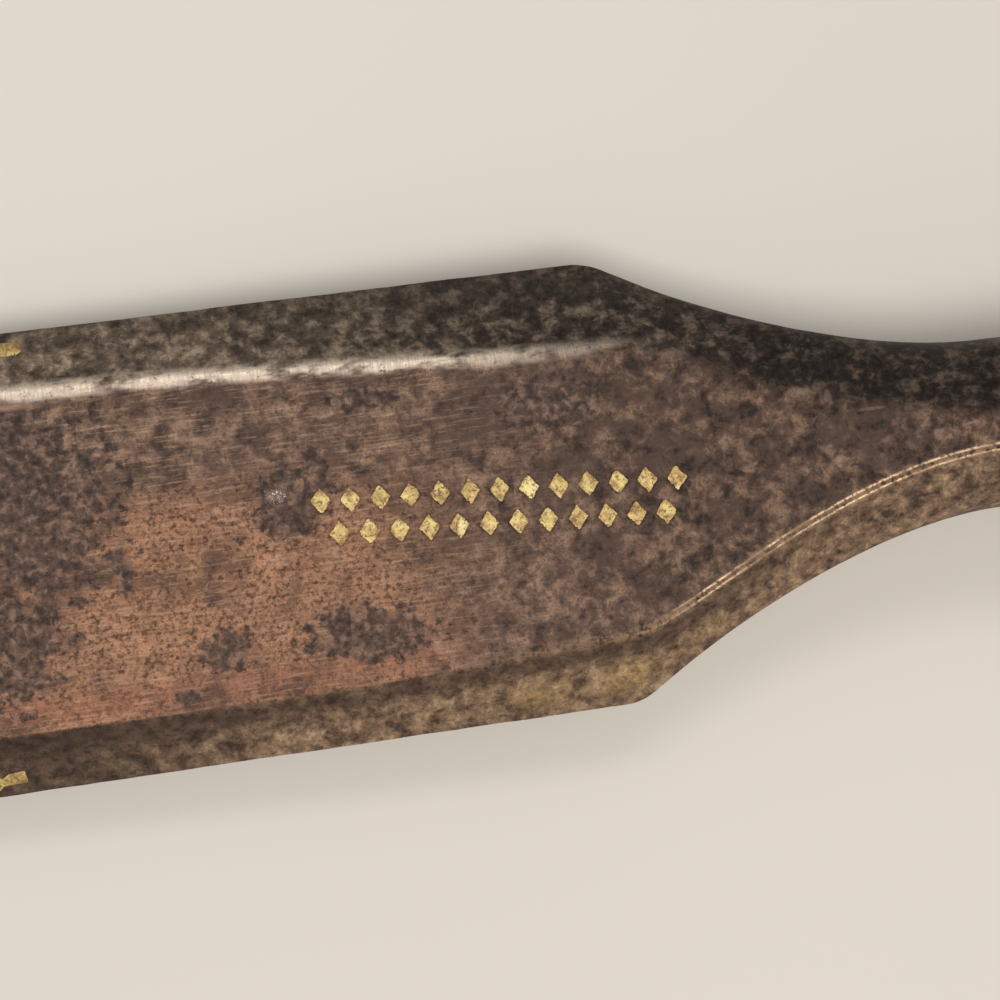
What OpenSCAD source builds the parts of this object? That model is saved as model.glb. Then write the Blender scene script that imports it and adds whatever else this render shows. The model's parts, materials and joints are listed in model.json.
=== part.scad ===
// Old bevelled socket chisel, lying on its cutting edge and its handle.
// Sizes are in millimetres. Pieces are drawn along the tool, from the cutting edge at x = 0
// towards the handle, with the blade's flat back on z = 0, and are then laid down at rest.

/* [Blade] */
// Length of the blade, from the cutting edge to the shoulders
blade_length = 150; // [110:1:190]
// Width of the blade just before the shoulders
shoulder_width = 37.5; // [32:0.1:50]
// How much wider the blade is at its cutting edge
edge_flare = 1; // [0:0.1:3]
// Thickness of the blade towards the cutting edge
edge_thickness = 4.2; // [3.8:0.1:6.5]
// Thickness of the blade at the shoulders
shoulder_thickness = 6.8; // [5.6:0.1:9]
// Height of the upright sides, below the bevels
side_land = 2.6; // [2.2:0.1:3.4]
// Slope of the long bevels on both sides of the face
side_bevel_angle = 33; // [26:1:42]
// Angle that the cutting edge is ground to
cutting_angle = 27; // [20:1:35]
// How softly the shoulder corners are rounded
shoulder_softness = 0.9; // [0.3:0.1:1.6]

/* [Steel facing] */
// Thickness of the steel welded under the blade
facing_thickness = 1.8; // [1:0.1:2.1]
// Length of the back that is left without steel, before the shoulders
bare_back = 24; // [8:1:50]
// Length of the slanted end of the weld
facing_scarf = 8; // [3:1:14]

/* [Neck] */
// Length from the shoulders to the narrowest place
neck_length = 32; // [26:1:46]
// Width at the narrowest place
waist_width = 14.4; // [11:0.1:18]
// How sharply the neck sweeps in: 1 is a straight slope, more is a deeper curve
sweep_power = 1.75; // [1.4:0.05:2.4]
// Height at the narrowest place
waist_height = 13.4; // [10:0.1:18]
// Width of the flat on top at the narrowest place
waist_flat = 4; // [2:0.1:6]
// Height of the upright side at the narrowest place
waist_side = 4.4; // [3:0.1:7]
// How soon the flat on top narrows: evenly at 1, sooner below it
flat_bend = 0.72; // [0.6:0.01:1]
// Height of the socket's centre line above the blade's back
axis_height = 4.2; // [2.5:0.1:6]
// Length over which the faceted neck turns round
flare_length = 14; // [8:1:24]

/* [Socket] */
// Length of the round socket, from the weld to its mouth
socket_length = 66; // [50:1:90]
// Diameter of the socket's mouth, outside
mouth_d = 28; // [24:0.1:34]
// Thickness of the socket's wall
socket_wall = 2.3; // [1.5:0.1:3]
// Length of solid iron before the hollow starts
socket_floor = 6; // [3:1:12]
// Size of the eased edges of the mouth
mouth_ease = 0.5; // [0.2:0.1:0.7]

/* [Handle] */
// Space between the handle's taper and the socket, on the radius
taper_clearance = 0.05; // [0.02:0.01:0.1]
// Gap between the tip of the taper and the socket's floor
tip_gap = 4; // [1:0.5:10]
// Gap between the socket's mouth and the handle's shoulder
shoulder_gap = 3; // [1:0.5:8]
// How much wider the handle's shoulder is than the socket's mouth, on the diameter
collar_over = 0.6; // [0:0.1:5]
// Diameter of the narrow part of the grip
grip_waist_d = 25.6; // [20:0.1:30]
// Diameter of the widest part of the grip
belly_d = 34.4; // [30:0.1:42]
// Diameter of the grip at its striking end
head_d = 30.6; // [27:0.1:38]
// Length from the handle's shoulder to the narrow part
collar_to_waist = 17; // [8:1:30]
// Length from the narrow part to the widest part
waist_to_belly = 46; // [30:1:70]
// Length from the widest part to the striking end
belly_to_head = 38; // [24:1:60]
// Size of the rounded corners of the grip
grip_round = 1.6; // [0.5:0.1:2.4]

/* [Striking end] */
// Number of leather washers
washer_count = 4; // [2:1:6]
// Thickness of one washer
washer_thickness = 4; // [2:0.5:6]
// How much narrower the washers are than the grip's end, on the diameter
washer_step = 0.6; // [0:0.1:3]
// Size of the eased edges of a washer
washer_ease = 0.5; // [0.2:0.1:0.9]
// Diameter of the tenon that holds the washers
tenon_d = 14; // [10:0.5:18]
// Space between the tenon and a washer, on the radius
washer_clearance = 0.05; // [0.02:0.01:0.2]
// How far the tenon stands out of the last washer
tenon_proud = 1.2; // [0.5:0.1:3]
// Thickness of the wedge at the tenon's end
wedge_thickness = 2.6; // [1.6:0.1:4]
// Thickness of the wedge at its driven tip
wedge_tip = 0.8; // [0.4:0.1:1.2]
// Length of whole tenon that is left below the wedge's tip
wedge_rest = 3; // [0.5:0.5:4]

/* [Hidden] */

iron = "#4d4038";
steel = "#6b6259";
wood = "#9a6a3a";
leather = "#6e4a2c";
pale_wood = "#c79a5e";

// Fineness of the turned pieces
$fn = 96;
// Spare length on every cutting shape
past = 1;

// Places along the tool
waist_x = blade_length + neck_length;
weld_x = waist_x + flare_length;
mouth_x = weld_x + socket_length;
scarf_end_x = blade_length - bare_back;
facing_x = scarf_end_x - facing_scarf;
taper_tip_x = weld_x + socket_floor + tip_gap;
grip_x = mouth_x + shoulder_gap;
grip_waist_x = grip_x + collar_to_waist;
belly_x = grip_waist_x + waist_to_belly;
head_x = belly_x + belly_to_head;
tenon_end_x = head_x + washer_count * washer_thickness + tenon_proud;
wedge_x = head_x + wedge_rest;

edge_width = shoulder_width + edge_flare;
collar_d = mouth_d + collar_over;
washer_d = head_d - washer_step;
waist_r = waist_width / 2;
mouth_r = mouth_d / 2;
tenon_r = tenon_d / 2;

// The flare bends from level to the socket's slope, so half its length counts towards the cone.
socket_slope = (mouth_r - waist_r) / (flare_length / 2 + socket_length);
weld_r = waist_r + socket_slope * flare_length / 2;

// The rounded corner of a shoulder reaches this far to both sides of it, with some to spare
spare_reach = 1.5;
shoulder_slope = (shoulder_width / 2 - waist_r) * sweep_power / neck_length;
shoulder_reach = spare_reach * shoulder_softness / shoulder_slope;

function lerp(a, b, t) = a + (b - a) * t;
function clamp01(t) = max(0, min(1, t));
function smooth(t) = let (c = clamp01(t)) c * c * (3 - 2 * c);
function soft_min(a, b, k) =
    let (h = max(k - abs(a - b), 0) / k)
    min(a, b) - h * h * k / 4;

// How far x lies along the neck and along the flare, from 0 to 1
function neck_part(x) = clamp01((x - blade_length) / neck_length);
function flare_part(x) = clamp01((x - waist_x) / flare_length);

// Half the width of the blade and neck: straight sides, then a curve that sweeps in to the waist
function straight_half(x) = lerp(edge_width, shoulder_width, x / blade_length) / 2;
function sweep_half(x) =
    waist_r + (shoulder_width / 2 - waist_r) * pow((waist_x - x) / neck_length, sweep_power);
function flare_half(x) = waist_r + socket_slope * flare_length * pow(flare_part(x), 2) / 2;
function half_width(x) =
    x < waist_x ? soft_min(straight_half(x), sweep_half(x), shoulder_softness) : flare_half(x);

// Heights of the face, of the back and of the top of the upright sides
function blade_top(x) = lerp(edge_thickness, shoulder_thickness, clamp01(x / blade_length));
function face_z(x) =
    x < blade_length ? blade_top(x)
    : x < waist_x ? lerp(shoulder_thickness, axis_height + waist_height / 2, smooth(neck_part(x)))
    : axis_height + lerp(waist_height / 2, weld_r, smooth(flare_part(x)));
function back_z(x) =
    x < blade_length
    ? facing_thickness * clamp01((scarf_end_x - x) / facing_scarf)
    : x < waist_x ? lerp(0, axis_height - waist_height / 2, smooth(neck_part(x)))
    : axis_height - lerp(waist_height / 2, weld_r, smooth(flare_part(x)));
function land_z(x) = lerp(side_land, axis_height + waist_side / 2, smooth(neck_part(x)));

// Half the width of the flat face, which narrows between the bevels and tapers along the neck
function blade_flat(x) = half_width(x) - (blade_top(x) - side_land) / tan(side_bevel_angle);
flat_at_shoulder = shoulder_width / 2 - (shoulder_thickness - side_land) / tan(side_bevel_angle);
function flat_half(x) =
    x < blade_length - shoulder_reach
    ? blade_flat(x)
    : lerp(flat_at_shoulder, waist_flat / 2, smooth(pow(neck_part(x), flat_bend)));

// Half a section is a chain of points, from the middle of the face round to the middle of the
// back. These are the numbers of the points at its corners.
face_corner = 2;
land_top = 6;
land_bottom = 8;
back_middle = 14;
bevel_middle = (face_corner + land_top) / 2;
// Directions of the same corners on the round end of the neck
face_corner_angle = 68;
land_top_angle = 12;
land_bottom_angle = -16;

function corner_values(middle, corner, top, bottom, last) =
    [[0, middle], [face_corner, corner], [land_top, top], [land_bottom, bottom], [back_middle, last]];
function flat_point(x, k) = [
    lookup(k, corner_values(0, flat_half(x), half_width(x), half_width(x), 0)),
    lookup(k, corner_values(face_z(x), face_z(x), land_z(x), back_z(x), back_z(x)))
];
function round_angle(k) =
    lookup(k, corner_values(90, face_corner_angle, land_top_angle, land_bottom_angle, -90));
function round_point(x, k) =
    let (a = round_angle(k), rise = a > 0 ? face_z(x) - axis_height : axis_height - back_z(x))
    [half_width(x) * cos(a), axis_height + rise * sin(a)];
// The sides and the underside turn round along the neck, the face only past the waist
function roundness(x, k) = k > bevel_middle ? smooth(neck_part(x)) : smooth(flare_part(x));
function section_point(x, k) = lerp(flat_point(x, k), round_point(x, k), roundness(x, k));
function half_section(x) = [for (k = [0 : back_middle]) section_point(x, k)];
function section(x) = concat(
    half_section(x),
    [for (k = [back_middle - 1 : -1 : 1]) let (p = section_point(x, k)) [-p[0], p[1]]]
);

// Sections stand close together where the outline bends
shoulder_steps = 8;
neck_steps = 22;
flare_steps = 8;
stations = concat(
    [facing_x, scarf_end_x],
    [for (i = [-shoulder_steps : shoulder_steps]) blade_length + shoulder_reach * i / shoulder_steps],
    [for (i = [1 : neck_steps])
        lerp(blade_length + shoulder_reach, waist_x, i / neck_steps)],
    [for (i = [1 : flare_steps]) lerp(waist_x, weld_x, i / flare_steps)]
);

// The ground bevel that makes the cutting edge is a slanted section
function ground_x(z) = z / tan(cutting_angle);
function ground_ring() = [
    for (j = [0 : 2 * back_middle - 1])
    let (p = section(ground_x(section(0)[j][1]))[j])
    [ground_x(p[1]), p[0], p[1]]
];

// The middle of a ring, between its face and its back
function middle(ring) = (ring[0] + ring[back_middle]) / 2;

module forged_body() {
    rings = concat([ground_ring()], [for (x = stations) [for (p = section(x)) [x, p[0], p[1]]]]);
    n = len(rings[0]);
    last = len(rings) - 1;
    front_middle = len(rings) * n;
    weld_middle = front_middle + 1;
    polyhedron(
        points = concat([for (ring = rings) each ring], [middle(rings[0]), middle(rings[last])]),
        faces = concat(
            [for (j = [0 : n - 1]) [front_middle, (j + 1) % n, j]],
            [for (i = [0 : last - 1], j = [0 : n - 1])
                let (a = i * n + j, b = i * n + (j + 1) % n)
                each [[a, b, a + n], [b, b + n, a + n]]],
            [for (j = [0 : n - 1]) [weld_middle, last * n + j, last * n + (j + 1) % n]]
        )
    );
}

// Turned pieces: the outline's points are [place along the tool, radius]
module turned(outline) {
    translate([0, 0, axis_height])
    rotate([0, 90, 0])
    rotate_extrude()
    polygon([for (p = outline) [p[1], p[0]]]);
}

// The socket's hollow narrows with the cone outside it
function bore_r(x) = mouth_r - socket_wall - socket_slope * (mouth_x - x);
function taper_r(x) = bore_r(x) - taper_clearance;

function socket_outline() = [
    [weld_x, 0],
    [weld_x, weld_r],
    [mouth_x - mouth_ease, mouth_r - socket_slope * mouth_ease],
    [mouth_x, mouth_r - mouth_ease],
    [mouth_x, bore_r(mouth_x) + mouth_ease],
    [mouth_x - mouth_ease, bore_r(mouth_x - mouth_ease)],
    [weld_x + socket_floor, bore_r(weld_x + socket_floor)],
    [weld_x + socket_floor, 0]
];

function grip_r(x) =
    x < grip_waist_x ? lerp(collar_d, grip_waist_d, smooth((x - grip_x) / collar_to_waist)) / 2
    : x < belly_x ? lerp(grip_waist_d, belly_d, smooth((x - grip_waist_x) / waist_to_belly)) / 2
    : lerp(belly_d, head_d, smooth((x - belly_x) / belly_to_head)) / 2;

// A quarter round of the grip's corner, seen from the side
corner_steps = 5;
function grip_corner(x, side) = [
    for (i = [0 : corner_steps])
    let (turn = 90 * i / corner_steps, a = side > 0 ? 90 - turn : turn)
    [x + side * grip_round * (1 - sin(a)), grip_r(x) - grip_round * (1 - cos(a))]
];

grip_steps = 36;
function grip_outline() = [
    for (i = [1 : grip_steps - 1])
    let (x = lerp(grip_x + grip_round, head_x - grip_round, i / grip_steps))
    [x, grip_r(x)]
];

// The tenon's end stands proud with a slanted rim
function tenon_outline() = [
    [head_x, tenon_r],
    [tenon_end_x - tenon_proud / 2, tenon_r],
    [tenon_end_x, tenon_r - tenon_proud],
    [tenon_end_x, 0]
];

function handle_outline() = concat(
    [[taper_tip_x, 0], [taper_tip_x, taper_r(taper_tip_x)], [grip_x, taper_r(grip_x)]],
    grip_corner(grip_x, 1),
    grip_outline(),
    grip_corner(head_x, -1),
    tenon_outline()
);

function washer_x(i) = head_x + (i - 1) * washer_thickness;
function washer_outline(i) =
    let (inner = tenon_r + washer_clearance, outer = washer_d / 2)
    let (near = washer_x(i), far = near + washer_thickness)
    [
        [near, inner],
        [near, outer - washer_ease],
        [near + washer_ease, outer],
        [far - washer_ease, outer],
        [far, outer - washer_ease],
        [far, inner]
    ];

// The saw cut in the tenon, which the wedge fills
module wedge_shape() {
    flank = (wedge_thickness - wedge_tip) / 2 / (tenon_end_x - wedge_x);
    far = tenon_end_x + past;
    translate([0, tenon_r + past, axis_height])
    rotate([90, 0, 0])
    linear_extrude(2 * (tenon_r + past))
    polygon([
        [wedge_x, -wedge_tip / 2],
        [far, -wedge_thickness / 2 - flank * past],
        [far, wedge_thickness / 2 + flank * past],
        [wedge_x, wedge_tip / 2]
    ]);
}

// Laid down, the tool touches the surface with its cutting edge and with whatever reaches lowest
// behind it, and it is centred over the origin.
resting_points = concat(socket_outline(), handle_outline(), washer_outline(washer_count));
rest_angle = atan(max([for (p = resting_points) (p[1] - axis_height) / p[0]]));
laid_length = max([
    for (p = resting_points) p[0] * cos(rest_angle) + (p[1] - axis_height) * sin(rest_angle)
]);

module laid() {
    translate([-laid_length / 2, 0, 0])
    rotate([0, -rest_angle, 0])
    children();
}

module blade_body() {
    color(iron) laid() forged_body();
}

module steel_facing() {
    color(steel) laid()
    intersection() {
        translate([0, edge_width, 0])
        rotate([90, 0, 0])
        linear_extrude(2 * edge_width)
        polygon([
            [0, 0],
            [scarf_end_x, 0],
            [facing_x, facing_thickness],
            [ground_x(facing_thickness), facing_thickness]
        ]);
        linear_extrude(2 * facing_thickness)
        polygon([
            [0, -straight_half(0)],
            [scarf_end_x, -straight_half(scarf_end_x)],
            [scarf_end_x, straight_half(scarf_end_x)],
            [0, straight_half(0)]
        ]);
    }
}

module socket() {
    color(iron) laid() turned(socket_outline());
}

module handle() {
    color(wood) laid()
    difference() {
        turned(handle_outline());
        wedge_shape();
    }
}

module leather_washer(i) {
    color(leather) laid() turned(washer_outline(i));
}

module tenon_wedge() {
    color(pale_wood) laid()
    intersection() {
        wedge_shape();
        turned(concat([[head_x, 0]], tenon_outline()));
    }
}

blade_body();
steel_facing();
socket();
handle();
for (i = [1 : washer_count])
    leather_washer(i);
tenon_wedge();
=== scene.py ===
"""An old bevelled socket chisel, lying on its cutting edge and its handle.

Sizes are in millimetres in the tool's own frame, as in the CAD source: x runs from the cutting edge
towards the handle, y to the left, and the blade's flat back is on z = 0. lay() turns such points
into metres in the row frame. Colours are written as they look on a screen, from 0 to 255.
"""

import json
import math
import random

import bpy
import numpy as np
from mathutils import Matrix, Vector, noise


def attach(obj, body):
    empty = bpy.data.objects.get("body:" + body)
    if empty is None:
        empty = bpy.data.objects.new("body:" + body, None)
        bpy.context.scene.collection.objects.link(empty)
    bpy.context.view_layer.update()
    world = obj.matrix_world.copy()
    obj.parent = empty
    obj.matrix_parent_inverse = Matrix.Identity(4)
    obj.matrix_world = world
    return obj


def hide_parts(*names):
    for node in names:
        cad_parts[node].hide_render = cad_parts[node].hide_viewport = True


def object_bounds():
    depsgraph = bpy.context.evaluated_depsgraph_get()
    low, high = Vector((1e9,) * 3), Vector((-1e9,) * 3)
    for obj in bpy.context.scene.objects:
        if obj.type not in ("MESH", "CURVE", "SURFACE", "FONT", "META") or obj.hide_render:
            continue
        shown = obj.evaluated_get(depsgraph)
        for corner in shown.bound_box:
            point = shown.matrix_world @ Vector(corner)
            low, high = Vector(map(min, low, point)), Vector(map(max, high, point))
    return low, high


MM = 0.001
SEED = 11

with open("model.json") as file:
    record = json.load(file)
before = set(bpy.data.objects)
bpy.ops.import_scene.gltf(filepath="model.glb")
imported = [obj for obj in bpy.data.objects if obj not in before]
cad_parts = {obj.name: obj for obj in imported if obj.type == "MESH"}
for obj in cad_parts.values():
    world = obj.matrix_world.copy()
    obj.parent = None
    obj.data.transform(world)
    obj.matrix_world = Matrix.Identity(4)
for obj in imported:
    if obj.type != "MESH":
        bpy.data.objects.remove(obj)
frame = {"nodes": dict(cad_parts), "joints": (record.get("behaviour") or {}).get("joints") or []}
cad_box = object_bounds()

# The tool's own frame in the row frame
draw = frame["joints"][0]
REST_ANGLE = math.atan2(draw["axis"][2], draw["axis"][0])
LAID_LENGTH = (cad_box[1].x - cad_box[0].x) / MM

# Blade
BLADE_LENGTH = 150
SHOULDER_WIDTH = 37.5
EDGE_WIDTH = 38.5
EDGE_THICKNESS = 4.2
SHOULDER_THICKNESS = 6.8
SIDE_LAND = 2.6
SIDE_BEVEL = math.radians(33)
CUTTING_ANGLE = math.radians(27)
SHOULDER_SOFTNESS = 0.9
FACING_THICKNESS = 1.8
FACING_X = 118
SCARF_END_X = 126

# Neck
NECK_LENGTH = 32
FLARE_LENGTH = 14
WAIST_X = BLADE_LENGTH + NECK_LENGTH
WELD_X = WAIST_X + FLARE_LENGTH
WAIST_RADIUS = 7.2
SWEEP_POWER = 1.75
WAIST_HEIGHT = 13.4
WAIST_FLAT = 4
WAIST_SIDE = 4.4
FLAT_BEND = 0.72
AXIS_HEIGHT = 4.2
# The smith drew the neck a little to the left of the middle, more at its sides than on its face
NECK_DRIFT = 0.75
FACE_DRIFT = 0.46

# Socket
MOUTH_X = 262
MOUTH_RADIUS = 14
SOCKET_WALL = 2.3
SOCKET_FLOOR = 6
MOUTH_EASE = 0.5
SOCKET_SLOPE = (MOUTH_RADIUS - WAIST_RADIUS) / (FLARE_LENGTH / 2 + MOUTH_X - WELD_X)
WELD_RADIUS = WAIST_RADIUS + SOCKET_SLOPE * FLARE_LENGTH / 2

# Handle
TAPER_CLEARANCE = 0.05
TAPER_TIP_X = WELD_X + SOCKET_FLOOR + 4
GRIP_X = 265
GRIP_WAIST_X = 282
BELLY_X = 328
HEAD_X = 366
COLLAR_RADIUS = 14.3
GRIP_WAIST_RADIUS = 12.8
BELLY_RADIUS = 17.2
HEAD_RADIUS = 15.3
GRIP_ROUND = 1.6

# Striking end
WASHER_COUNT = 4
WASHER_THICKNESS = 4
WASHER_RADIUS = 15
WASHER_EASE = 0.5
TENON_RADIUS = 7
TENON_PROUD = 1.2
TENON_END_X = HEAD_X + WASHER_COUNT * WASHER_THICKNESS + TENON_PROUD
WASHER_HOLE = TENON_RADIUS + 0.05
WEDGE_X = HEAD_X + 3
WEDGE_TIP = 0.8
WEDGE_THICKNESS = 2.6

LEFT, RIGHT = 1, -1


# Small sums


def lerp(a, b, t):
    return a + (b - a) * t


def smooth(t):
    t = np.clip(t, 0, 1)
    return t * t * (3 - 2 * t)


def hill(x, middle, before, after):
    """1 at the middle, falling smoothly to 0 at the given reach before and after it."""
    reach = np.where(x < middle, before, after)
    return smooth(1 - abs(x - middle) / reach)


def lay(points):
    """Points in the tool's own frame, in millimetres, as metres in the row frame."""
    points = np.asarray(points, float)
    x, y, z = points[..., 0], points[..., 1], points[..., 2]
    c, s = math.cos(REST_ANGLE), math.sin(REST_ANGLE)
    return np.stack([x * c - z * s - LAID_LENGTH / 2, y, x * s + z * c], axis=-1) * MM


def field(points, size, seed=0.0):
    """Smooth noise from -1 to 1 at each point, whose bumps are about this many millimetres wide."""
    flat = np.asarray(points, float).reshape(-1, 3) / size + seed
    values = [noise.noise(Vector(p)) for p in flat]
    return np.array(values).reshape(np.shape(points)[:-1])


def linear(red, green, blue):
    """A screen colour as the linear colour that shaders take."""
    out = []
    for value in (red, green, blue):
        v = value / 255
        out.append(v / 12.92 if v <= 0.04045 else ((v + 0.055) / 1.055) ** 2.4)
    return (*out, 1)


# Meshes


def add_mesh(name, vertices, faces, material, carried=None, sharp=22):
    """A mesh object with smooth faces, edges that are sharp above an angle, and carried values."""
    mesh = bpy.data.meshes.new(name)
    mesh.from_pydata(np.asarray(vertices).tolist(), [], faces)
    mesh.validate()
    mesh.polygons.foreach_set("use_smooth", [True] * len(mesh.polygons))
    mesh.set_sharp_from_angle(angle=math.radians(sharp))
    for key, values in (carried or {}).items():
        attribute = mesh.attributes.new(key, "FLOAT", "POINT")
        attribute.data.foreach_set("value", np.asarray(values, np.float32))
    mesh.materials.append(material)
    piece = bpy.data.objects.new(name, mesh)
    bpy.context.scene.collection.objects.link(piece)
    return piece


def ring_faces(rings, around, loop=False):
    """Quads between closed rings of points, facing outwards when the rings run clockwise from +X."""
    faces = []
    for i in range(rings if loop else rings - 1):
        a, b = i * around, (i + 1) % rings * around
        for j in range(around):
            k = (j + 1) % around
            faces.append((a + j, b + j, b + k, a + k))
    return faces


def eased(x, r, ease, degrees, way=1):
    """Points round an eased corner at a place and a radius. Way is -1 where the piece starts there."""
    return [
        (x - way * ease * (1 - math.sin(a)), r - ease * (1 - math.cos(a)))
        for a in np.radians(degrees)
    ]


def turned(name, outline, material, around, dent, closed=False, sharp=32):
    """A turned piece about the tool's centre line, from [place along it, radius] points.

    Dent gives how far the surface lies below its plain shape at each point.
    """
    outline = np.asarray(outline, float)
    turn = np.linspace(0, 2 * math.pi, around, endpoint=False)
    x = np.repeat(outline[:, 0], around)
    r = np.repeat(outline[:, 1], around)
    a = np.tile(turn, len(outline))
    plain = np.stack([x, r * np.sin(a), AXIS_HEIGHT + r * np.cos(a)], axis=-1)
    r = r - dent(x, r, a, plain)
    points = np.stack([x, r * np.sin(a), AXIS_HEIGHT + r * np.cos(a)], axis=-1)
    faces = ring_faces(len(outline), around, closed)
    if not closed:
        last = len(points)
        ends = [[outline[0, 0], 0, AXIS_HEIGHT], [outline[-1, 0], 0, AXIS_HEIGHT]]
        points = np.concatenate([points, ends])
        start = (len(outline) - 1) * around
        for j in range(around):
            k = (j + 1) % around
            faces.append((last, j, k))
            faces.append((last + 1, start + k, start + j))
    return add_mesh(name, lay(points), faces, material, sharp=sharp)


# Blade's shape


def neck_part(x):
    return np.clip((x - BLADE_LENGTH) / NECK_LENGTH, 0, 1)


def flare_part(x):
    return np.clip((x - WAIST_X) / FLARE_LENGTH, 0, 1)


def swept_in(x):
    """0 at the shoulders and 1 at the waist, as far as the outline has swept in."""
    return 1 - np.clip((WAIST_X - x) / NECK_LENGTH, 0, None) ** SWEEP_POWER


def drift(x, amount):
    return amount * np.clip(swept_in(x), 0, 1) * (1 - smooth(flare_part(x)))


def half_width(x, side):
    straight = lerp(EDGE_WIDTH, SHOULDER_WIDTH, x / BLADE_LENGTH) / 2
    sweep = WAIST_RADIUS + (SHOULDER_WIDTH / 2 - WAIST_RADIUS) * (1 - swept_in(x))
    sweep = sweep + side * drift(x, NECK_DRIFT)
    near = np.maximum(SHOULDER_SOFTNESS - abs(straight - sweep), 0) / SHOULDER_SOFTNESS
    neck = np.minimum(straight, sweep) - near**2 * SHOULDER_SOFTNESS / 4
    flare = WAIST_RADIUS + SOCKET_SLOPE * FLARE_LENGTH * flare_part(x) ** 2 / 2
    return np.where(x < WAIST_X, neck, flare + side * drift(x, NECK_DRIFT))


def face_z(x):
    blade = lerp(EDGE_THICKNESS, SHOULDER_THICKNESS, np.clip(x / BLADE_LENGTH, 0, 1))
    neck = lerp(blade, AXIS_HEIGHT + WAIST_HEIGHT / 2, smooth(neck_part(x)))
    return lerp(neck, AXIS_HEIGHT + WELD_RADIUS, smooth(flare_part(x)))


def back_z(x):
    blade = FACING_THICKNESS * np.clip((SCARF_END_X - x) / (SCARF_END_X - FACING_X), 0, 1)
    neck = lerp(blade, AXIS_HEIGHT - WAIST_HEIGHT / 2, smooth(neck_part(x)))
    return lerp(neck, AXIS_HEIGHT - WELD_RADIUS, smooth(flare_part(x)))


def land_z(x):
    return lerp(SIDE_LAND, AXIS_HEIGHT + WAIST_SIDE / 2, smooth(neck_part(x)))


# The hand-filed face is narrower on the left just before the shoulder, and wider on the right:
# how much, where, and how far it reaches before and after
FACE_SKEW = {LEFT: (-1.0, 147, 40, 12), RIGHT: (0.8, 128, 35, 45)}


def face_half(x, side):
    slant = math.tan(SIDE_BEVEL)
    blade = half_width(x, side) - (face_z(x) - SIDE_LAND) / slant
    at_shoulder = SHOULDER_WIDTH / 2 - (SHOULDER_THICKNESS - SIDE_LAND) / slant
    neck = lerp(at_shoulder, WAIST_FLAT / 2, smooth(neck_part(x) ** FLAT_BEND))
    amount, middle, before, after = FACE_SKEW[side]
    skew = amount * hill(x, middle, before, after)
    turn = smooth((x - BLADE_LENGTH + 3) / 3)
    return lerp(blade, neck, turn) + skew + side * drift(x, FACE_DRIFT)


# How softly each edge of the section is worn, as a length to both sides of it, and the most that
# this may take of a side, as a share of the side's length
BACK_WEAR = 0.3
MOST_WORN = 0.45


def arris_wear(x, side):
    if side == RIGHT:
        return lerp(0.22, 0.12, smooth((x - 100) / 50))
    return lerp(0.62, 3.2, smooth((x - 143) / 24))


def edge_wear(x, side):
    neck = 1.1 if side == LEFT else 0.35
    return lerp(0.18, neck, smooth((x - BLADE_LENGTH) / 12))


# Points on one half of a section, on each of its four sides and at each of its three corners
FACE_POINTS = 58
BEVEL_POINTS = 16
SIDE_POINTS = 5
BACK_POINTS = 8
CORNER_POINTS = 7
# Corners' numbers along a half section, and their directions on the round end of the neck
STAGES = (0, 2, 6, 8, 14)
ROUND_ANGLES = (90, 68, 12, -16, -90)
BEVEL_HOLLOW = {LEFT: 0.06, RIGHT: 0.16}


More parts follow.
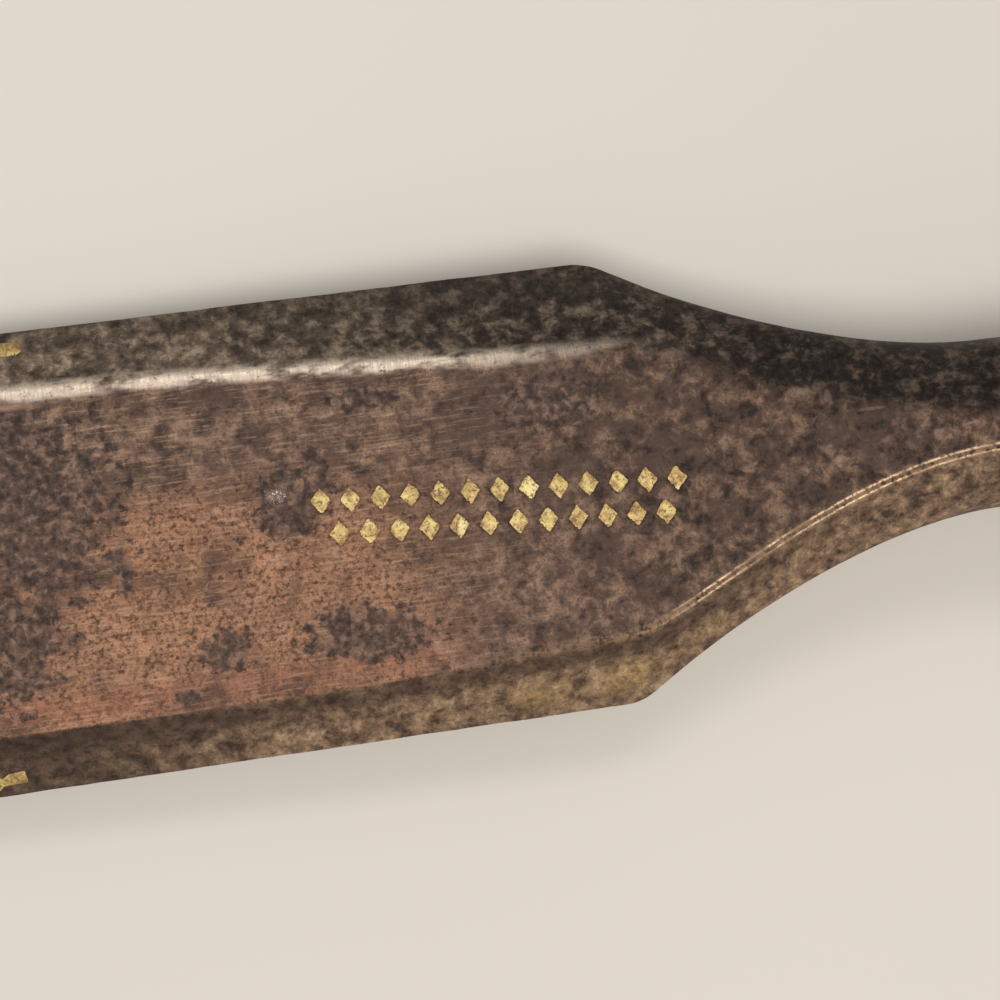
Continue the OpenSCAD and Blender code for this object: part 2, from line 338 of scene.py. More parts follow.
def half_section(x, side):
    """Points from the middle of the face round to the middle of the back, at each x.

    Gives y and z, the stage of each point, and how far it is from the arris, in millimetres:
    less than 0 on the face and more than 0 down the bevel.
    """
    zero = np.zeros_like(x)
    half = half_width(x, side)
    corners = [
        np.stack([zero, face_z(x)], -1),
        np.stack([face_half(x, side), face_z(x)], -1),
        np.stack([half, land_z(x)], -1),
        np.stack([half, back_z(x)], -1),
        np.stack([zero, back_z(x)], -1),
    ]
    wear = [zero, arris_wear(x, side) + zero, edge_wear(x, side) + zero, BACK_WEAR + zero, zero]
    counts = (FACE_POINTS, BEVEL_POINTS, SIDE_POINTS, BACK_POINTS)
    points, stages, gone = [], [], []
    walked = zero
    for i in range(4):
        start, end = corners[i], corners[i + 1]
        run = end - start
        length = np.linalg.norm(run, axis=-1)
        ahead = run / length[:, None]
        first, last = wear[i], np.minimum(wear[i + 1], MOST_WORN * length)
        inside = np.linspace(0, 1, counts[i], endpoint=i == 3)
        for t in inside:
            at = lerp(first, length - last, t)
            spot = start + ahead * at[:, None]
            if i == 1:
                outward = np.stack([-ahead[:, 1], ahead[:, 0]], -1)
                dip = BEVEL_HOLLOW[side] * 4 * t * (1 - t)
                spot = spot - outward * dip * (1 - smooth(neck_part(x)))[:, None]
            points.append(spot)
            stages.append(lerp(STAGES[i], STAGES[i + 1], at / length))
            gone.append(walked + at)
        if i < 3:
            beyond = corners[i + 2] - end
            next_length = np.linalg.norm(beyond, axis=-1)
            onward = beyond / next_length[:, None]
            after = np.minimum(wear[i + 1], MOST_WORN * next_length)
            enter = end - ahead * last[:, None]
            leave = end + onward * after[:, None]
            for u in np.linspace(0, 1, CORNER_POINTS, endpoint=False):
                spot = enter * (1 - u) ** 2 + end * 2 * u * (1 - u) + leave * u**2
                points.append(spot)
                before = STAGES[i + 1] - (1 - 2 * u) * last / length * (STAGES[i + 1] - STAGES[i])
                past = STAGES[i + 1] + (2 * u - 1) * after / next_length * (STAGES[i + 2] - STAGES[i + 1])
                stages.append(np.where(u < 0.5, before, past) + zero)
                gone.append(walked + length + lerp(-last, after, u))
            wear[i + 1] = after
        walked = walked + length
    points, stages, gone = (np.stack(v, axis=1) for v in (points, stages, gone))
    # The section turns round: the sides and the back along the neck, the face past the waist
    angle = np.radians(np.interp(stages, STAGES, ROUND_ANGLES))
    rise = np.where(angle > 0, (face_z(x) - AXIS_HEIGHT)[:, None], (AXIS_HEIGHT - back_z(x))[:, None])
    circle = np.stack([half[:, None] * np.cos(angle), AXIS_HEIGHT + rise * np.sin(angle)], -1)
    low = smooth((stages - 3) / 2)
    roundness = lerp(smooth(flare_part(x))[:, None], smooth(neck_part(x))[:, None], low)
    points = lerp(points, circle, roundness[..., None])
    return points, stages, gone - face_half(x, side)[:, None]


def section_points(x):
    """Whole sections as rings: x, y and z, the stage and the distance from the arris."""
    x = np.asarray(x, float)
    left, left_stage, left_gone = half_section(x, LEFT)
    right, right_stage, right_gone = half_section(x, RIGHT)
    right = right * np.array([-1, 1])
    both = np.concatenate([left, right[:, -2:0:-1]], axis=1)
    stage = np.concatenate([left_stage, right_stage[:, -2:0:-1]], axis=1)
    gone = np.concatenate([left_gone, right_gone[:, -2:0:-1]], axis=1)
    along = np.repeat(x[:, None], both.shape[1], axis=1)
    return np.concatenate([along[..., None], both], axis=-1), stage, gone


# The punched border: lozenges in two rows, the lower row set half a step along
BORDER_START = (125.2, 1.7)
BORDER_SLANT = -0.068
BORDER_STEP = 2.45
BORDER_ROWS = 2
BORDER_MARKS = 13
ROW_GAP = 2.75
LOZENGE = (0.95, 1.2)
PUNCH_DEPTH = 0.2
PUNCH_WALL = 0.22
PUNCH_REACH = 2
FILL_DEPTH = 0.07
# The metal that the punch pushed up: its height, and how far inwards from the mark's edge its
# middle lies, with its reach outwards and inwards
BURR_HEIGHT = 0.03
BURR_PLACE = (-0.1, 0.22, 0.12)


def border_marks():
    """The middle of each lozenge of the border."""
    for row in range(BORDER_ROWS):
        for i in range(BORDER_MARKS - row):
            along = BORDER_STEP * (i + row / 2)
            x = BORDER_START[0] + along
            yield x, BORDER_START[1] + BORDER_SLANT * along - ROW_GAP * row


# Waves that forging left in the face: depth, width and noise seed
WAVES = ((0.035, 7.5, 0.0), (0.014, 2.2, 5.0))
# Pits show where their noise passes the limit
PIT_DEPTH = 0.03
PIT_WIDTH = 0.9
PIT_SEED = 9.0
PIT_LIMIT = 0.28
# Dents in the face: place along, place across, reach along, reach across, depth
DENTS = (
    (165.3, 5.4, 0.9, 0.5, 0.16),
    (167.2, 4.6, 0.45, 1.0, 0.18),
    (157.7, 5.9, 0.3, 0.35, 0.12),
    (121.2, 2.6, 0.9, 0.7, 0.1),
    (170.5, 3.2, 1.6, 0.22, 0.08),
)


def relief(points):
    """How far the face lies below its plain shape: forging waves, pits, dents and punched marks."""
    x, y = points[..., 0], points[..., 1]
    waves = sum(deep * field(points, width, seed) for deep, width, seed in WAVES)
    pits = PIT_DEPTH * np.clip(field(points, PIT_WIDTH, PIT_SEED) - PIT_LIMIT, 0, 1)
    depth = waves + pits
    for px, py, rx, ry, deep in DENTS:
        away = np.hypot((x - px) / rx, (y - py) / ry)
        depth = depth + deep * smooth(1.15 - away)
    for px, py in border_marks():
        near = (abs(x - px) < PUNCH_REACH) & (abs(y - py) < PUNCH_REACH)
        if not near.any():
            continue
        ragged = 1 + 0.12 * field(points[near], 0.5, px)
        share = abs(x[near] - px) / LOZENGE[0] + abs(y[near] - py) / LOZENGE[1]
        inward = (ragged - share) * LOZENGE[0] * LOZENGE[1] / math.hypot(*LOZENGE)
        depth[near] += PUNCH_DEPTH * smooth(inward / PUNCH_WALL)
        depth[near] -= BURR_HEIGHT * hill(inward, *BURR_PLACE)
    return depth


# Where the blade's rings lie: start, end and step, finest along the border and the shoulders
RING_SPANS = ((10, 94, 2.0), (94, 121, 0.45), (121, 158.5, 0.2), (158.5, 183, 0.35))
FLARE_RINGS = 16


def blade_stations():
    spans = [np.arange(*span) for span in RING_SPANS]
    return np.concatenate([*spans, np.linspace(RING_SPANS[-1][1], WELD_X, FLARE_RINGS)])


def ground_ring():
    """The slanted ring round the ground bevel that makes the cutting edge."""
    start, _, _ = section_points([0.0])
    x = start[0, :, 2] / math.tan(CUTTING_ANGLE)
    rings, _, gone = section_points(x)
    own = np.arange(len(x))
    ring = rings[own, own]
    ring[:, 0] = ring[:, 2] / math.tan(CUTTING_ANGLE)
    return ring[None], gone[own, own][None]


# The forged sides and back lie a little inside their plain shape, by a depth with waves on it
# that holds at this distance from the centre line
SIDE_SINK = 0.03
SIDE_WAVES = ((0.03, 4.0, 3.0), (0.015, 1.3, 7.0))
SIDE_RADIUS = 12
# How far from the arris the middles of the blade's two ends count as
END_FROM_ARRIS = -9


def forge_blade(iron, ground):
    x = blade_stations()
    rings, stage, gone = section_points(x)
    on_face = 1 - smooth((gone + 0.5) / 0.5)
    on_face *= 1 - smooth(flare_part(rings[..., 0]) * 2)
    rings[..., 2] -= relief(rings) * on_face
    rough = SIDE_SINK + sum(deep * field(rings, width, seed) for deep, width, seed in SIDE_WAVES)
    inward = smooth((stage - 2) / 0.6) * (1 - smooth((stage - 12) / 2))
    inward *= 1 - smooth((rings[..., 0] - WELD_X + 3) / 3)
    middle = np.array([0, AXIS_HEIGHT])
    rings[..., 1:] -= (rings[..., 1:] - middle) * (rough * inward)[..., None] / SIDE_RADIUS
    first, first_gone = ground_ring()
    rings = np.concatenate([first, rings])
    around = rings.shape[1]
    count = rings.shape[0]
    faces = ring_faces(count, around)
    points = rings.reshape(-1, 3)
    half = around // 2
    front = (rings[0, 0] + rings[0, half]) / 2
    back = np.array([WELD_X, 0, AXIS_HEIGHT])
    points = np.concatenate([points, [front, back]])
    cap = len(faces)
    last = (count - 1) * around
    for j in range(around):
        k = (j + 1) % around
        faces.append((count * around, j, k))
        faces.append((count * around + 1, last + k, last + j))
    from_arris = np.concatenate([first_gone, gone]).ravel()
    carried = {"from_arris": np.concatenate([from_arris, [END_FROM_ARRIS, END_FROM_ARRIS]])}
    piece = add_mesh("blade_forged", lay(points), faces, iron, carried)
    piece.data.materials.append(ground)
    for index in range(cap, len(faces), 2):
        piece.data.polygons[index].material_index = 1
    return piece


def inlay(name, outlines, material, rise, dome=0.02, thickness=0.12):
    """Thin closed patches, each from an outline of [x, y] points laid on the face or a bevel."""
    rng = random.Random(SEED)
    points, faces = [], []
    for outline in outlines:
        outline = np.asarray(outline, float)
        middle = outline.mean(axis=0)
        start, n = len(points), len(outline)
        rings = [(0.99, -thickness), (1, 0), (0.8, dome * 0.7), (0.45, dome)]
        for shrink, lift in rings:
            for p in outline:
                x, y = middle + (p - middle) * shrink
                ruffle = rng.uniform(-0.5, 0.5) * dome if shrink < 1 and lift > 0 else 0
                points.append([x, y, surface_z(x, y) + rise + lift + ruffle])
        for i in range(len(rings) - 1):
            for j in range(n):
                k = (j + 1) % n
                a, b = start + i * n, start + (i + 1) * n
                faces.append((a + j, a + k, b + k, b + j))
        top = len(points)
        points.append([*middle, surface_z(*middle) + rise + dome])
        points.append([*middle, surface_z(*middle) + rise - thickness])
        for j in range(n):
            k = (j + 1) % n
            faces.append((top, start + 3 * n + j, start + 3 * n + k))
            faces.append((top + 1, start + k, start + j))
    return add_mesh(name, lay(points), faces, material, sharp=50)


def surface_z(x, y):
    """Height of the face or of a bevel at a place on the blade."""
    side = LEFT if y > 0 else RIGHT
    at = np.array([float(x)])
    face, edge = float(face_z(at)[0]), float(face_half(at, side)[0])
    half, land = float(half_width(at, side)[0]), float(land_z(at)[0])
    share = (abs(y) - edge) / (half - edge)
    hollow = BEVEL_HOLLOW[side] * 4 * max(share, 0) * (1 - share)
    return face if share <= 0 else lerp(face, land, share) - hollow


def lozenge_outline(px, py, shrink, rng):
    corners = [(1, 0), (0, 1), (-1, 0), (0, -1)]
    out = []
    for a, b in zip(corners, corners[1:] + corners[:1]):
        for t in np.linspace(0, 1, 5, endpoint=False):
            ragged = shrink * (1 + rng.uniform(-0.14, 0.08))
            x, y = lerp(a[0], b[0], t), lerp(a[1], b[1], t)
            out.append((px + x * LOZENGE[0] * ragged, py + y * LOZENGE[1] * ragged))
    return out


def gild_border(material):
    rng = random.Random(SEED)
    outlines = [lozenge_outline(x, y, 0.93, rng) for x, y in border_marks()]
    return inlay("gilt_border", outlines, material, -FILL_DEPTH, 0.025, 0.1)


# Dabs of gilding that ran onto the bevels
DAB_LEFT = [(99.0, 16.9), (102.2, 16.8), (102.7, 17.1), (102.6, 17.7), (101.6, 18.0), (98.4, 18.0)]
DAB_RIGHT = [
    (93.5, -18.4), (96.3, -18.3), (96.6, -18.0), (98.6, -17.9), (98.5, -16.9), (97.2, -17.0),
    (96.8, -17.3), (96.3, -17.25), (93.6, -17.3),
]


def finely(outline, step=0.25):
    out = []
    for a, b in zip(outline, outline[1:] + outline[:1]):
        n = max(1, round(math.dist(a, b) / step))
        for t in np.linspace(0, 1, n, endpoint=False):
            out.append((lerp(a[0], b[0], t), lerp(a[1], b[1], t)))
    return out


# Materials


class Paint:
    """Builds the nodes of one material. Places are in millimetres in the object's own space."""

    def __init__(self, name):
        self.material = bpy.data.materials.new(name)
        self.material.use_nodes = True
        self.tree = self.material.node_tree
        self.tree.nodes.clear()
        self.output = self.tree.nodes.new("ShaderNodeOutputMaterial")
        where = self.make("TexCoord").outputs["Object"]
        self.at = self.stretch(where, (1 / MM, 1 / MM, 1 / MM))
        split = self.make("SeparateXYZ", {0: self.at})
        self.along = self.total(split.outputs[0], LAID_LENGTH / 2)
        self.across, self.up = split.outputs[1], split.outputs[2]

    def make(self, kind, inputs=None, **settings):
        made = self.tree.nodes.new("ShaderNode" + kind)
        for key, value in settings.items():
            setattr(made, key, value)
        for key, value in (inputs or {}).items():
            if isinstance(value, bpy.types.NodeSocket):
                self.tree.links.new(value, made.inputs[key])
            else:
                made.inputs[key].default_value = value
        return made

    def stretch(self, vector, scale):
        return self.make("VectorMath", {0: vector, 1: scale}, operation="MULTIPLY").outputs[0]

    def calc(self, operation, a, b=0.0):
        return self.make("Math", {0: a, 1: b}, operation=operation).outputs[0]

    def chain(self, operation, values):
        out = values[0]
        for value in values[1:]:
            out = self.calc(operation, out, value)
        return out

    def product(self, *values):
        return self.chain("MULTIPLY", values)

    def total(self, *values):
        return self.chain("ADD", values)

    def most(self, *values):
        return self.chain("MAXIMUM", values)

    def flip(self, value):
        return self.calc("SUBTRACT", 1.0, value)

    def carried(self, name):
        return self.make("Attribute", attribute_name=name).outputs["Fac"]

    def noise(self, size, detail=3, rough=0.55, shape=(1, 1, 1), warp=0.0, seed=0.0):
        """Noise from 0 to 1 whose bumps are about size millimetres wide, times its shape."""
        scale = tuple(1 / (size * s) for s in shape)
        place = self.stretch(self.at, scale)
        if seed:
            place = self.make("VectorMath", {0: place, 1: (seed, seed, seed)}).outputs[0]
        inputs = {"Vector": place, "Scale": 1.0, "Detail": detail, "Roughness": rough, "Distortion": warp}
        return self.make("TexNoise", inputs).outputs[0]

    def rise(self, value, low, high):
        """0 below low and 1 above high, smoothly. With high below low it falls instead."""
        if high < low:
            return self.flip(self.rise(value, high, low))
        inputs = {"Value": value, "From Min": low, "From Max": high}
        made = self.make("MapRange", inputs, interpolation_type="SMOOTHSTEP")
        return made.outputs[0]

    def peak(self, value, middle, reach):
        """1 where the value is at the middle, and 0 past the reach to both sides of it."""
        away = self.calc("ABSOLUTE", self.calc("SUBTRACT", value, middle))
        return self.rise(away, reach, 0)

    def blend(self, share, a, b, mode="MIX"):
        made = self.make("Mix", {0: share, 6: a, 7: b}, data_type="RGBA", blend_type=mode)
        return made.outputs[2]

    def tones(self, value, *stops):
        """A colour for each value, from (value, screen colour) stops."""
        made = self.make("ValToRGB", {0: value})
        ramp = made.color_ramp
        while len(ramp.elements) < len(stops):
            ramp.elements.new(0.5)
        for element, (place, colour) in zip(ramp.elements, stops):
            element.position = place
            element.color = linear(*colour)
        return made.outputs[0]

    def spot(self, place, reach, ragged, tilt=0.0):
        """1 inside a ragged ellipse on the face and 0 outside it."""
        c, s = math.cos(math.radians(tilt)), math.sin(math.radians(tilt))
        dx = self.calc("SUBTRACT", self.along, place[0])
        dy = self.calc("SUBTRACT", self.across, place[1])
        u = self.total(self.product(dx, c / reach[0]), self.product(dy, s / reach[0]))
        v = self.calc("SUBTRACT", self.product(dy, c / reach[1]), self.product(dx, s / reach[1]))
        away = self.calc("SQRT", self.total(self.product(u, u), self.product(v, v)))
        return self.rise(self.total(away, ragged), 1.3, 0.75)

    def finish(self, colour, roughness, metallic, height=None, depth=0.1, coat=0.0, gloss=0.5):
        """Ends in one shader. Height is from 0 to 1, and depth is its size in millimetres."""
        inputs = {"Base Color": colour, "Roughness": roughness, "Metallic": metallic}
        shader = self.make("BsdfPrincipled", inputs)
        shader.inputs["Specular IOR Level"].default_value = gloss
        if coat:
            shader.inputs["Coat Weight"].default_value = coat
            shader.inputs["Coat Roughness"].default_value = 0.35
        if height is not None:
            bump = self.make("Bump", {"Height": height, "Strength": 1.0, "Distance": depth * MM})
            self.tree.links.new(bump.outputs[0], shader.inputs["Normal"])
        self.tree.links.new(shader.outputs[0], self.output.inputs[0])
        return self.material


# Dark stains on the face: place, reach, tilt
STAINS = (
    ((99.5, 4.0), (8.5, 8.5), 0),
    ((97.0, -6.5), (6.0, 5.0), 0),
    ((122.3, 1.9), (3.2, 2.9), 10),
    ((124.8, 4.9), (0.8, 2.4), 25),
    ((108.2, -1.7), (0.9, 1.9), 8),
    ((115.8, -9.3), (2.3, 1.7), 0),
    ((127.2, -9.5), (4.8, 2.3), -8),
    ((112.0, -12.8), (1.0, 0.7), 0),
    ((129.4, 9.4), (2.6, 1.0), 0),
    ((144.5, 7.2), (3.4, 2.0), 0),
)

# Forged iron, on the socket and on the neck's end
SOCKET_TONES = ((0.34, (54, 42, 36)), (0.52, (86, 68, 56)), (0.68, (122, 98, 80)))


def paint_blade():
    p = Paint("iron_blade")
    arris = p.carried("from_arris")
    left = p.rise(p.across, -0.2, 0.2)
    right = p.flip(left)
    neck = p.rise(p.along, 152, 166)
    neck_shade = p.rise(p.along, 136, 158)

    broad = p.noise(5.5, 4, 0.6, warp=0.4)
    mottle = p.noise(1.5, 5, 0.65, warp=0.3, seed=3.1)
    speck = p.noise(0.42, 4, 0.7, seed=7.7)
    grain = p.noise(0.16, 3, 0.6, seed=1.3)
    lines = p.noise(0.22, 4, 0.65, shape=(22, 1, 1), seed=4.9)
    hairs = p.noise(0.16, 3, 0.6, shape=(1, 7, 7), warp=0.6, seed=2.2)
    patches = p.noise(0.85, 4, 0.6, warp=0.3, seed=11.3)
    uneven = p.noise(1.4, 3, 0.6, shape=(2.5, 1, 1), seed=13.0)

    # The bevels begin at the arris: crisply on the blade, in a ragged way on the left of the neck
    strayed = p.total(arris, p.product(p.calc("SUBTRACT", patches, 0.5), 5.0))
    crisp, loose = p.rise(arris, -0.12, 0.22), p.rise(strayed, -1.4, 1.2)
    loosened = p.product(left, p.rise(p.along, 148, 160))
    bevel = p.total(p.product(crisp, p.flip(loosened)), p.product(loose, loosened))

    # The face: brown iron, copper-coloured where it was rubbed bare, then stained
    face = p.tones(mottle, (0.36, (66, 49, 42)), (0.5, (106, 82, 68)), (0.62, (138, 110, 92)))
    copper = p.tones(speck, (0.36, (104, 70, 52)), (0.5, (148, 106, 80)), (0.64, (184, 142, 112)))
    bare = p.product(p.rise(p.along, 146, 116), p.rise(p.across, 9, -3))
    bare = p.rise(p.total(bare, p.product(broad, 0.9)), 0.55, 1.15)
    face = p.blend(bare, face, copper)
    red = p.product(p.peak(arris, -1.4, 2.2), right, p.rise(p.along, 138, 126))
    face = p.blend(p.product(red, 0.75), face, linear(150, 100, 78))
    # Painted shade: the face grows darker towards the neck, where it turns from the light
    shaded_face = p.tones(mottle, (0.38, (42, 30, 25)), (0.5, (84, 64, 52)), (0.62, (130, 103, 84)))
    face = p.blend(p.product(neck_shade, 0.9), face, shaded_face)
    blots = p.product(p.rise(broad, 0.52, 0.62), p.rise(mottle, 0.45, 0.56))
    face = p.blend(p.product(blots, 0.6), face, linear(66, 50, 43))
    flecks = p.rise(speck, 0.53, 0.62)
    face = p.blend(p.product(flecks, 0.6), face, linear(56, 42, 35))
    thick = p.total(p.product(broad, 0.6), p.product(patches, 0.7))
    crust = p.product(p.rise(thick, 0.64, 0.74), p.rise(speck, 0.4, 0.56))
    face = p.blend(p.product(crust, 0.75), face, linear(62, 47, 41))
    streaks = p.product(p.rise(lines, 0.52, 0.66), p.rise(p.along, 150, 128))
    face = p.blend(p.product(streaks, 0.4), face, linear(170, 138, 114))
    dark_lines = p.product(p.rise(lines, 0.46, 0.36), p.rise(p.along, 150, 128))
    face = p.blend(p.product(dark_lines, 0.45), face, linear(78, 56, 42))
    ragged = p.total(p.product(mottle, 2.0), p.product(patches, 1.6))
    ragged = p.calc("SUBTRACT", ragged, 1.8)
    stains = p.most(*(p.spot(place, reach, ragged, tilt) for place, reach, tilt in STAINS))
    stain_tone = p.tones(patches, (0.36, (56, 43, 39)), (0.52, (76, 60, 53)), (0.64, (112, 88, 75)))
    face = p.blend(p.product(stains, 0.85), face, stain_tone)

    # The left bevel: grey-green patina under a painted dark reflection, which deepens towards the neck;
    # darker too lower down the bevel
    left_tone = p.tones(mottle, (0.36, (68, 57, 48)), (0.5, (108, 93, 79)), (0.63, (154, 135, 116)))
    left_dark_reflection = p.tones(mottle, (0.38, (32, 25, 21)), (0.5, (58, 48, 41)), (0.62, (108, 94, 80)))
    to_neck = p.rise(p.along, 104, 146)
    left_bevel = p.blend(to_neck, left_tone, left_dark_reflection)
    low_left = p.rise(arris, 3.2, 7.0)
    left_bevel = p.blend(p.product(low_left, 0.5), left_bevel, linear(50, 44, 37))
    # The right bevel: painted reflections on its hollow face, a dark band beside the arris and an olive
    # band below it, then brown
    right_bevel = p.tones(mottle, (0.36, (78, 61, 50)), (0.5, (130, 104, 83)), (0.63, (164, 137, 108)))
    shade = p.product(p.peak(arris, 1.2, 2.4), p.rise(p.along, 176, 150))
    right_bevel = p.blend(p.product(shade, 0.75), right_bevel, linear(70, 52, 43))
    olive_reflection = p.product(p.peak(arris, 4.4, 2.4), p.peak(p.along, 146, 15), p.rise(broad, 0.36, 0.6))
    right_bevel = p.blend(olive_reflection, right_bevel, linear(172, 142, 96))
    end_dark = p.rise(p.along, 122, 102)
    right_bevel = p.blend(p.product(end_dark, 0.75), right_bevel, linear(66, 51, 43))
    bevels = p.blend(left, right_bevel, left_bevel)
    # Painted shade: the left side of the neck, turned from the light, near black
    neck_left_shade = p.tones(mottle, (0.38, (20, 16, 13)), (0.5, (40, 32, 27)), (0.62, (84, 70, 60)))
    bevels = p.blend(p.product(left, neck), bevels, neck_left_shade)
    bevels = p.blend(p.product(flecks, 0.5), bevels, linear(46, 37, 32))
    colour = p.blend(bevel, face, bevels)
    colour = p.blend(p.rise(p.along, 183, WELD_X - 1), colour, p.tones(mottle, *SOCKET_TONES))

    # Fine grit darkens and lightens the whole surface
    mixed = p.total(p.product(speck, 0.55), p.product(patches, 0.45))
    grit = p.tones(mixed, (0.4, (104, 104, 104)), (0.5, (188, 188, 188)), (0.6, (242, 240, 236)))
    colour = p.blend(0.7, colour, grit, "OVERLAY")

    # Worn edges, partly painted highlights: a broad bright band along the left arris and a fine bright
    # line on the right of the neck
    hair = p.total(p.product(p.rise(hairs, 0.4, 0.6), 0.25), 0.75)
    wavering = p.total(arris, p.product(p.calc("SUBTRACT", uneven, 0.5), 1.2))
    wear_and_highlight_band = p.product(p.peak(wavering, 0.05, 1.2), left, hair, p.rise(p.along, 158, 132))
    wear_and_highlight_band = p.product(wear_and_highlight_band, p.rise(uneven, 0.32, 0.54), p.rise(speck, 0.28, 0.42))
    colour = p.blend(wear_and_highlight_band, colour, linear(226, 208, 188))
    under = p.product(p.peak(arris, -1.25, 0.4), left, p.rise(p.along, 106, 98))
    colour = p.blend(p.product(under, 0.6), colour, linear(196, 150, 128))
    # The fine line on the right of the neck: worn bright metal with a painted glint, broken along its
    # length
    broken = p.product(p.rise(uneven, 0.36, 0.56), p.rise(speck, 0.4, 0.54))
    pair = p.most(p.peak(arris, 0.0, 0.2), p.product(p.peak(arris, -0.55, 0.18), 0.7))
    line = p.product(pair, right, p.rise(p.along, 148, 156))
    line = p.product(line, p.total(p.product(broken, 0.8), 0.2))
    line = p.product(line, p.rise(p.along, WELD_X, WAIST_X + 2))
    colour = p.blend(line, colour, linear(240, 208, 168))
    # Painted highlight: a faint light strip along the right arris towards the shoulder
    right_arris_highlight = p.product(p.peak(arris, -0.1, 0.9), right, p.rise(p.along, 128, 150), p.rise(speck, 0.4, 0.62))
    colour = p.blend(p.product(right_arris_highlight, 0.5), colour, linear(176, 138, 104))
    # Painted glint: a pale smear of light in the dent beside the border
    sparkle = p.product(p.spot((121.2, 2.6), (0.85, 0.6), ragged, -12), p.rise(grain, 0.5, 0.66), 0.8)
    colour = p.blend(sparkle, colour, linear(196, 186, 182))
    worn = p.calc("SUBTRACT", p.product(speck, 2.0), 1.0)
    nicks = p.most(*(p.spot((px, py), (0.6 * rx, 0.6 * ry), worn) for px, py, rx, ry, _ in DENTS))
    colour = p.blend(p.product(nicks, 0.25), colour, linear(158, 136, 118))

    bright = p.most(wear_and_highlight_band, line, sparkle)
    roughness = p.calc("SUBTRACT", p.total(0.5, p.product(speck, 0.2)), p.product(bright, 0.25))
    metallic = p.total(0.25, p.product(bright, 0.55))
    height = p.total(p.product(speck, 0.55), p.product(grain, 0.25))
    height = p.total(height, p.product(lines, 0.35))
    return p.finish(colour, roughness, metallic, height, 0.05, gloss=0.25)


def paint_socket():
    """Plain forged iron, which goes on from the neck's."""
    p = Paint("iron_socket")
    broad = p.noise(7, 4, 0.6, warp=0.5, seed=2.0)
    mottle = p.noise(1.5, 5, 0.65, warp=0.3, seed=3.1)
    speck = p.noise(0.42, 4, 0.7, seed=7.7)
    lines = p.noise(0.3, 4, 0.6, shape=(18, 1, 1), seed=4.9)
    colour = p.tones(mottle, *SOCKET_TONES)
    rubbed = p.product(p.rise(broad, 0.5, 0.66), p.rise(p.along, WELD_X, WELD_X + 14))
    colour = p.blend(p.product(rubbed, 0.5), colour, linear(126, 94, 72))
    flecks = p.rise(speck, 0.56, 0.68)
    colour = p.blend(p.product(flecks, 0.5), colour, linear(54, 42, 36))
    worn = p.peak(p.along, MOUTH_X, 1.6)
    colour = p.blend(p.product(worn, p.rise(speck, 0.35, 0.6)), colour, linear(176, 152, 128))
    roughness = p.total(0.42, p.product(mottle, 0.25))
    height = p.total(p.product(speck, 0.6), p.product(lines, 0.3))
    return p.finish(colour, roughness, 0.35, height, 0.06)


def paint_steel(name, across_blade=False):
    """Bare tool steel: lapped lengthwise on the back, ground across on the cutting bevel."""
    p = Paint(name)
    shape = (1, 20, 1) if across_blade else (20, 1, 1)
    lines = p.noise(0.12, 4, 0.6, shape=shape, seed=1.0)
    broad = p.noise(6, 4, 0.6, warp=0.6, seed=5.0)
    speck = p.noise(0.6, 4, 0.7, seed=8.0)
    colour = p.tones(lines, (0.3, (124, 118, 112)), (0.7, (164, 158, 150)))
    brown = p.product(p.rise(broad, 0.46, 0.64), 0.7)
    colour = p.blend(brown, colour, linear(112, 90, 72))
    spots = p.rise(speck, 0.6, 0.68)
    colour = p.blend(p.product(spots, 0.7), colour, linear(70, 52, 42))
    roughness = p.total(0.3, p.product(broad, 0.25))
    height = p.total(p.product(lines, 0.5), p.product(speck, 0.3))
    return p.finish(colour, roughness, 0.75, height, 0.02)


# How far the heart of the growth rings lies to the right of the tool and below the floor
HEART = (26.0, 15.0)


def paint_wood(name, dark, mid, pale, ring, oiled):
    """Turned hardwood: growth rings about a heart that lies off the centre line, pores and wear."""
    p = Paint(name)
    wander = p.noise(30, 3, 0.5, shape=(3, 1, 1), seed=2.0)
    y = p.total(p.across, HEART[0])
    z = p.total(p.up, HEART[1])
    from_heart = p.calc("SQRT", p.total(p.product(y, y), p.product(z, z)))
    rings = p.total(p.calc("DIVIDE", from_heart, ring), p.product(wander, 5.0))
    rings = p.calc("FRACT", rings)
    fibre = p.noise(0.5, 4, 0.6, shape=(24, 1, 1), seed=6.0)
    pores = p.noise(0.28, 2, 0.5, shape=(16, 1, 1), seed=9.0)
    broad = p.noise(18, 3, 0.5, shape=(2, 1, 1), seed=4.0)
    value = p.total(p.product(rings, 0.45), p.product(fibre, 0.55))
    colour = p.tones(value, (0.2, pale), (0.45, mid), (0.8, dark))
    pored = p.rise(pores, 0.58, 0.66)
    colour = p.blend(p.product(pored, 0.6), colour, linear(*(v * 0.55 for v in dark)))
    grime = p.product(p.rise(broad, 0.42, 0.7), 0.55 * oiled)
    colour = p.blend(grime, colour, linear(*(v * 0.62 for v in dark)))
    roughness = p.total(0.34, p.product(fibre, 0.2))
    height = p.calc("SUBTRACT", p.product(fibre, 0.5), p.product(pored, 0.6))
    return p.finish(colour, roughness, 0.0, height, 0.08, coat=0.25 * oiled)


